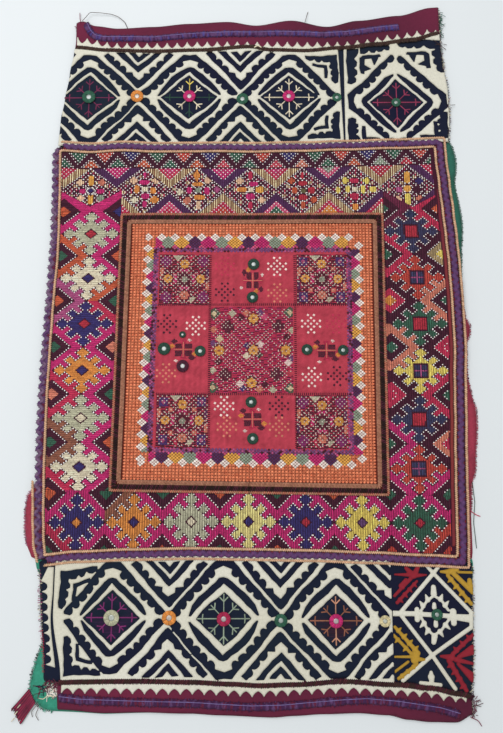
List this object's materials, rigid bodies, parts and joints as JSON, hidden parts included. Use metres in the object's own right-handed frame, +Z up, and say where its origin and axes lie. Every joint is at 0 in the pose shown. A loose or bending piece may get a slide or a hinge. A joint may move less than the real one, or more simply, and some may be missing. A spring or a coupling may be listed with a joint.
{
  "type": "embroidered patchwork table runner",
  "caption": "Flat pieced cloth for a table: an embroidered square with set-in mirrors between cut-work end panels and rickrack-trimmed bands.",
  "frame": {"origin": "middle of the cloth's box in plan, on the surface it lies on", "axes": "+Y along the cloth's length towards the end with the plain left edge, +X across it, +Z up"},
  "size_m": [0.46, 0.756, 0.006],
  "materials": {
    "green_lining": "matte",
    "rose_lining": "matte",
    "navy_cloth": "matte",
    "maroon_cloth": "matte",
    "cream_cloth": "matte",
    "red_cloth": "matte",
    "yellow_cloth": "matte",
    "maroon_cord": "matte",
    "purple_rickrack": "matte",
    "embroidered_cloth": "matte",
    "orange_cloth": "matte",
    "terracotta_braid": "matte",
    "dark_braid": "matte",
    "brown_cord": "matte",
    "tan_cord": "matte",
    "mirror_work": "small glass discs in stitched rings"
  },
  "bodies": {
    "root": {"lining_top": "green_lining", "lining_bottom": "green_lining", "lining_middle": "rose_lining", "ground_top": "navy_cloth", "ground_bottom": "navy_cloth", "end_band_top": "maroon_cloth", "end_band_bottom": "maroon_cloth", "frayed_strip": "maroon_cloth", "sawtooth_top": "cream_cloth", "sawtooth_bottom": "cream_cloth", "cutwork_top_main": "cream_cloth", "cutwork_top_block": "cream_cloth", "cutwork_bottom_strip": "cream_cloth", "cutwork_bottom_main": "cream_cloth", "cutwork_bottom_block": "cream_cloth", "leaf_upper_left": "red_cloth", "leaf_lower_right": "red_cloth", "red_strip": "red_cloth", "leaf_upper_right": "yellow_cloth", "leaf_lower_left": "yellow_cloth", "end_cord_top": "maroon_cord", "end_cord_bottom": "maroon_cord", "rickrack_top": "purple_rickrack", "rickrack_bottom": "purple_rickrack", "square_rickrack": "purple_rickrack", "left_rickrack": "purple_rickrack", "band_top": "embroidered_cloth", "band_left": "embroidered_cloth", "band_right": "embroidered_cloth", "band_bottom": "embroidered_cloth", "centre_panel": "orange_cloth", "centre_edge": "terracotta_braid", "centre_braid": "dark_braid", "centre_cord": "brown_cord", "square_cord_outer": "tan_cord", "square_cord_inner": "tan_cord", "mirror_top_1": "mirror_work", "mirror_top_2": "mirror_work", "mirror_top_3": "mirror_work", "mirror_top_4": "mirror_work", "mirror_top_join_1": "mirror_work", "mirror_top_join_2": "mirror_work", "mirror_top_join_3": "mirror_work", "mirror_bottom_1": "mirror_work", "mirror_bottom_2": "mirror_work", "mirror_bottom_3": "mirror_work", "mirror_bottom_4": "mirror_work", "mirror_bottom_join_1": "mirror_work", "mirror_bottom_join_2": "mirror_work", "mirror_bottom_join_3": "mirror_work", "mirror_patch_top_1": "mirror_work", "mirror_patch_top_2": "mirror_work", "mirror_patch_left_1": "mirror_work", "mirror_patch_left_2": "mirror_work", "mirror_patch_left_3": "mirror_work", "mirror_patch_left_4": "mirror_work", "mirror_patch_right_1": "mirror_work", "mirror_patch_right_2": "mirror_work", "mirror_patch_bottom_1": "mirror_work", "mirror_patch_bottom_2": "mirror_work"}
  },
  "joints": []
}
